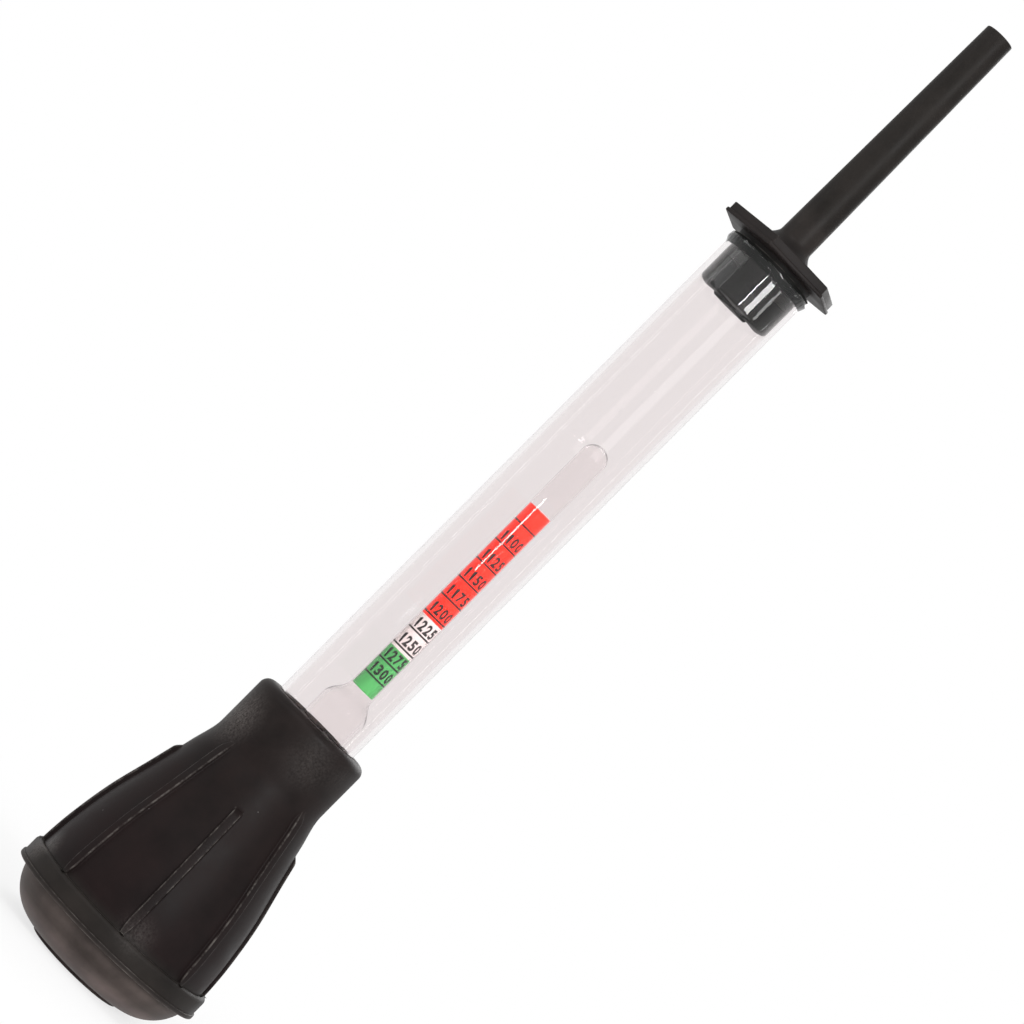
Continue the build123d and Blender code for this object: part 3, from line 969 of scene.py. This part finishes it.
nozzle = {
    "crownEnd": nozzleLow.z / mm,
    "tip": nozzleHigh.z / mm,
    "plugRadius": 10.6,
    "sealRadius": 10.7,  # the plug is pressed against the glass inside the bead
    "sealBottom": barrel["top"] - barrel["beadLength"] + 0.3,
    "sealRamp": 0.4,
    "crownRound": 1.0,
    "slotWidth": 4.8,
    "slotDepth": 7.4,
    "slotRound": 0.55,
    "slotBend": 40.0,  # degrees that an edge of the crown turns before it is rounded
    "crownTurn": 30.0,  # degrees from X to a slot
    "collarBottom": barrel["top"] + 0.05,
    "collarHeight": 1.4,
    "collarRadius": 11.25,
    "collarRound": 0.3,
    "coreRound": 0.4,
    "coreDrop": 0.2,  # the spun body ends this far under the flange's top
    "lipThickness": 1.0,
    "flangeFlats": 2 * (nozzleHigh.y / mm - flangeLip),
    "flangeThickness": 3.1,
    "flangeRound": 0.28,
    "bossRadius": 7.4,
    "bossHeight": 3.8,
    "bossPulls": ((-0.8, 1.1), (0.0, -1.2)),  # mm, how the boss's curve leaves the flange and meets the tube
    "tubeBase": 4.75,
    "tubeTip": 3.95,
    "tubeRows": 8,
    "tipRound": 0.2,
    "boreRadius": 2.25,
    "boreRound": 0.15,
    "steps": 144,
    "sharpAngle": 32.0,
}


def nozzleOutline():
    n = nozzle
    plug, collar, bore, crownEnd = n["plugRadius"], n["collarRadius"], n["boreRadius"], n["crownEnd"]
    collarLow, tip, tubeTip, rows = n["collarBottom"], n["tip"], n["tubeTip"], n["tubeRows"]
    flangeTop = collarLow + n["collarHeight"] + n["flangeThickness"]
    coreTop = flangeTop - n["coreDrop"]
    tubeFoot = flangeTop + n["bossHeight"]
    points = cornerArc((bore, crownEnd), (plug, crownEnd), (plug, collarLow), n["crownRound"], 6)
    points += [(plug, crownEnd + n["slotDepth"]), (plug, n["sealBottom"])]
    points += [(n["sealRadius"], n["sealBottom"] + n["sealRamp"]), (n["sealRadius"], collarLow)]
    points += cornerArc((plug, collarLow), (collar, collarLow), (collar, flangeTop), n["collarRound"], 3)
    points += [(collar, flangeTop - n["coreRound"]), (collar - n["coreRound"], coreTop)]
    points += [(n["bossRadius"] + n["coreRound"], coreTop)]
    points += smoothCurve((n["bossRadius"], flangeTop), *n["bossPulls"], (n["tubeBase"], tubeFoot), 10)
    points += [(n["tubeBase"] + (tubeTip - n["tubeBase"]) * i / rows, tubeFoot + (tip - tubeFoot) * i / rows)
               for i in range(1, rows)]
    points += cornerArc((tubeTip, flangeTop), (tubeTip, tip), (0.0, tip), n["tipRound"], 4)
    points += cornerArc((tubeTip, tip), (bore, tip), (bore, 0.0), n["boreRound"], 2)
    points += [(bore, crownEnd)]
    return points


def solidFrom(bm, name):
    mesh = bpy.data.meshes.new(name)
    bm.to_mesh(mesh)
    bm.free()
    solid = bpy.data.objects.new(name, mesh)
    bpy.context.scene.collection.objects.link(solid)
    return solid


def combine(base, other, operation):
    # Joins or cuts with a second solid, keeps the result in the base's mesh and removes the second
    step = base.modifiers.new(operation.lower(), "BOOLEAN")
    step.operation = operation
    step.solver = "EXACT"
    step.object = other
    bpy.context.view_layer.update()
    depsgraph = bpy.context.evaluated_depsgraph_get()
    result = bpy.data.meshes.new_from_object(base.evaluated_get(depsgraph))
    base.modifiers.clear()
    base.data = result
    bpy.data.objects.remove(other)


def makeFlange():
    n = nozzle
    low = n["collarBottom"] + n["collarHeight"]
    bm = bmesh.new()
    lipFlats = n["flangeFlats"] + 2 * flangeLip
    corner = lipFlats / 2 / math.cos(math.pi / 6)
    bmesh.ops.create_circle(bm, cap_ends=True, segments=6, radius=corner * mm)
    bmesh.ops.rotate(bm, verts=bm.verts, cent=(0, 0, 0), matrix=Matrix.Rotation(math.pi / 6, 3, "Z"))
    top = bm.faces[:]
    # Each rise grows from the face on top; its edges go along, or the old face would stay inside
    rises = (n["lipThickness"], 0.0, n["flangeThickness"] - n["lipThickness"])
    shares = (1.0, n["flangeFlats"] / lipFlats, 1.0)
    for rise, share in zip(rises, shares):
        grown = bmesh.ops.extrude_face_region(bm, geom=top + top[0].edges[:])["geom"]
        verts = [v for v in grown if isinstance(v, bmesh.types.BMVert)]
        top = [f for f in grown if isinstance(f, bmesh.types.BMFace)]
        bmesh.ops.translate(bm, verts=verts, vec=(0, 0, rise * mm))
        bmesh.ops.scale(bm, verts=verts, vec=(share, share, 1.0))
    bmesh.ops.translate(bm, verts=bm.verts, vec=(0, 0, low * mm))
    bmesh.ops.recalc_face_normals(bm, faces=bm.faces)
    outer = [edge for edge in bm.edges if edge.is_convex]
    bmesh.ops.bevel(bm, geom=outer, offset=n["flangeRound"] * mm, offset_type="OFFSET", segments=3,
                    profile=0.5, affect="EDGES", material=-1)
    return solidFrom(bm, "flange")


def makeSlot(turn):
    # A block that cuts one slot right across the crown
    n = nozzle
    bm = bmesh.new()
    bmesh.ops.create_cube(bm, size=1.0)
    bmesh.ops.scale(bm, verts=bm.verts,
                    vec=(3 * n["plugRadius"] * mm, n["slotWidth"] * mm, 2 * n["slotDepth"] * mm))
    bmesh.ops.rotate(bm, verts=bm.verts, cent=(0, 0, 0), matrix=Matrix.Rotation(math.radians(turn), 3, "Z"))
    bmesh.ops.translate(bm, verts=bm.verts, vec=(0, 0, n["crownEnd"] * mm))
    return solidFrom(bm, "slot")


def roundCrown(bm):
    # The slots of a moulding have soft edges down their mouths
    n = nozzle
    root = (n["crownEnd"] + n["slotDepth"]) * mm + 10 * weld
    rim = []
    for edge in bm.edges:
        middle = (edge.verts[0].co + edge.verts[1].co) / 2
        if middle.z > root or not edge.is_manifold:
            continue
        if edge.is_convex and edge.calc_face_angle(0.0) > math.radians(n["slotBend"]):
            rim.append(edge)
    bmesh.ops.bevel(bm, geom=rim, offset=n["slotRound"] * mm, offset_type="OFFSET", segments=3,
                    profile=0.5, affect="EDGES", material=-1, clamp_overlap=True)


def makeNozzle():
    body = solidFrom(fullSpin(nozzleOutline(), nozzle["steps"], closed=True), "nozzleBody")
    combine(body, makeFlange(), "UNION")
    combine(body, makeSlot(nozzle["crownTurn"]), "DIFFERENCE")
    combine(body, makeSlot(nozzle["crownTurn"] + 90), "DIFFERENCE")
    bm = bmesh.new()
    bm.from_mesh(body.data)
    bpy.data.objects.remove(body)
    bmesh.ops.remove_doubles(bm, verts=bm.verts, dist=2 * weld)
    roundCrown(bm)
    bmesh.ops.recalc_face_normals(bm, faces=bm.faces)
    markWear(bm)
    makePiece(bm, "rubber_nozzle", "nozzle", materials["rubber"], ["nozzle_stopper"],
              nozzle["sharpAngle"])


makeNozzle()

for node, finish in (("ballast_shot", "steel"), ("ballast_seal", "wax")):
    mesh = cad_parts[node].data
    mesh.materials.clear()
    mesh.materials.append(materials[finish])
print("pieces ready")


# Floor, light and camera

studio = {
    "floorRadius": 1.6,  # metres, as all lengths here but the sensor's
    "floorPaint": "#f2f2f2",
    "shadowInner": 0.05,  # the floor's own white takes over from its shadow between these distances
    "shadowOuter": 0.22,
    "shadowShare": 0.25,
    "skyStrength": 0.55,
    "lampAim": 0.16,
    "distance": 0.994,
    "turn": -17.2,  # degrees from -Y towards X where the camera stands
    "height": 0.1266,
    "aimHeight": 0.1489,
    "aimSide": -0.0025,
    "roll": 44.9,
    "clipStart": 0.05,
    "pixelFocal": 4200.0,  # the focal length in pixels of the picture
    "imageSide": 1024.0,
    "sensor": 36.0,
}


def seenByEye(tree):
    # One for the camera, mirror reflections and rays through glass, which all see a white surround
    path = addNode(tree, "ShaderNodeLightPath", {})
    both = addNode(tree, "ShaderNodeMath", {
        0: path.outputs["Is Camera Ray"], 1: path.outputs["Is Glossy Ray"]}, operation="MAXIMUM")
    every = addNode(tree, "ShaderNodeMath", {
        0: both.outputs["Value"], 1: path.outputs["Is Transmission Ray"]}, operation="MAXIMUM")
    return every.outputs["Value"]


def makeWorld():
    world = bpy.data.worlds.new("softStudio")
    bpy.context.scene.world = world
    world.use_nodes = True
    tree = world.node_tree
    tree.nodes.clear()
    white = addNode(tree, "ShaderNodeBackground", {"Color": (1, 1, 1, 1), "Strength": 1.0})
    sky = addNode(tree, "ShaderNodeBackground", {"Color": (1, 1, 1, 1), "Strength": studio["skyStrength"]})
    mixed = addNode(tree, "ShaderNodeMixShader", {
        0: seenByEye(tree), 1: sky.outputs["Background"], 2: white.outputs["Background"]})
    addNode(tree, "ShaderNodeOutputWorld", {"Surface": mixed.outputs["Shader"]})


def makeFloor():
    material, tree = newMaterial("paintedWhiteFloor")
    place = addNode(tree, "ShaderNodeTexCoord", {}).outputs["Object"]
    away = addNode(tree, "ShaderNodeVectorMath", {0: place}, operation="LENGTH")
    fade = addNode(tree, "ShaderNodeMapRange", {
        "Value": away.outputs["Value"], "From Min": studio["shadowInner"], "From Max": studio["shadowOuter"],
        "To Min": 1.0 - studio["shadowShare"], "To Max": 1.0}, interpolation_type="SMOOTHSTEP")
    share = addNode(tree, "ShaderNodeMath", {
        0: fade.outputs["Result"], 1: seenByEye(tree)}, operation="MULTIPLY")
    paint = addNode(tree, "ShaderNodeBsdfDiffuse", {"Color": hexLinear(studio["floorPaint"])})
    glow = addNode(tree, "ShaderNodeEmission", {"Color": (1, 1, 1, 1), "Strength": 1.0})
    mixed = addNode(tree, "ShaderNodeMixShader", {
        0: share.outputs["Value"], 1: paint.outputs["BSDF"], 2: glow.outputs["Emission"]})
    closeMaterial(tree, mixed.outputs["Shader"])
    bm = bmesh.new()
    bmesh.ops.create_circle(bm, cap_ends=True, segments=96, radius=studio["floorRadius"])
    mesh = bpy.data.meshes.new("floor")
    bm.to_mesh(mesh)
    bm.free()
    mesh.materials.append(material)
    floor = bpy.data.objects.new("floor", mesh)
    bpy.context.scene.collection.objects.link(floor)


lamps = {
    # name: degrees round from the camera, distance, height, width and height of the panel in metres, watts
    "keyPanel": (29.0, 1.1, 0.56, 0.30, 0.36, 6.0),
    "crownPanel": (31.0, 1.1, 0.348, 0.28, 0.046, 1.7),
    "crownLine": (9.0, 1.1, 0.348, 0.05, 0.046, 0.5),
    "crownSide": (57.0, 1.1, 0.348, 0.14, 0.046, 0.26),
    "crownLeft": (-72.0, 1.1, 0.348, 0.9, 0.046, 0.3),
    "belowCrown": (24.0, 1.1, 0.270, 0.42, 0.10, 0.3),
    "slipLine": (9.5, 1.1, 0.165, 0.065, 0.05, 0.4),
    "topPanel": (-30.0, 1.1, 1.1, 0.6, 0.6, 7.0),
    "leftPanel": (-75.0, 0.9, 0.50, 0.45, 0.30, 1.1),
    "stripLeft": (-87.0, 0.9, 0.16, 0.02, 0.30, 0.14),
    "stripRight": (98.0, 0.9, 0.16, 0.02, 0.30, 0.14),
    "backPanel": (160.0, 1.2, 0.6, 0.7, 0.5, 3.2),
}


def makeLamps():
    for name, (turn, distance, height, width, tall, watts) in lamps.items():
        light = bpy.data.lights.new(name, "AREA")
        light.shape = "RECTANGLE"
        light.size = width
        light.size_y = tall
        light.energy = watts
        lamp = bpy.data.objects.new(name, light)
        angle = math.radians(studio["turn"] + turn)
        lamp.location = (distance * math.sin(angle), -distance * math.cos(angle), height)
        aim = Vector((0.0, 0.0, studio["lampAim"])) - lamp.location
        lamp.rotation_euler = aim.to_track_quat("-Z", "Y").to_euler()
        lamp.visible_camera = False
        lamp.visible_transmission = abs(turn) < 90  # those behind would show through the glass
        bpy.context.scene.collection.objects.link(lamp)


def makeCamera():
    s = studio
    turn = math.radians(s["turn"])
    right = Vector((math.cos(turn), math.sin(turn), 0.0))
    place = Vector((s["distance"] * math.sin(turn), -s["distance"] * math.cos(turn), s["height"]))
    aim = Vector((0.0, 0.0, s["aimHeight"])) + right * s["aimSide"]
    forward = (aim - place).normalized()
    up = (Vector((0, 0, 1)) - forward * forward.z).normalized()
    side = forward.cross(up)
    roll = math.radians(s["roll"])
    cameraX = up * math.sin(roll) + side * math.cos(roll)
    cameraY = up * math.cos(roll) - side * math.sin(roll)
    rotation = Matrix((cameraX, cameraY, -forward)).transposed()
    data = bpy.data.cameras.new("camera")
    data.sensor_width = s["sensor"]
    data.sensor_fit = "HORIZONTAL"
    data.lens = s["pixelFocal"] * s["sensor"] / s["imageSide"]
    data.clip_start = s["clipStart"]
    camera = bpy.data.objects.new("camera", data)
    camera.matrix_world = Matrix.Translation(place) @ rotation.to_4x4()
    bpy.context.scene.collection.objects.link(camera)
    bpy.context.scene.camera = camera


makeWorld()
makeFloor()
makeLamps()
makeCamera()
bpy.context.scene.view_settings.view_transform = "Standard"
print("studio ready")
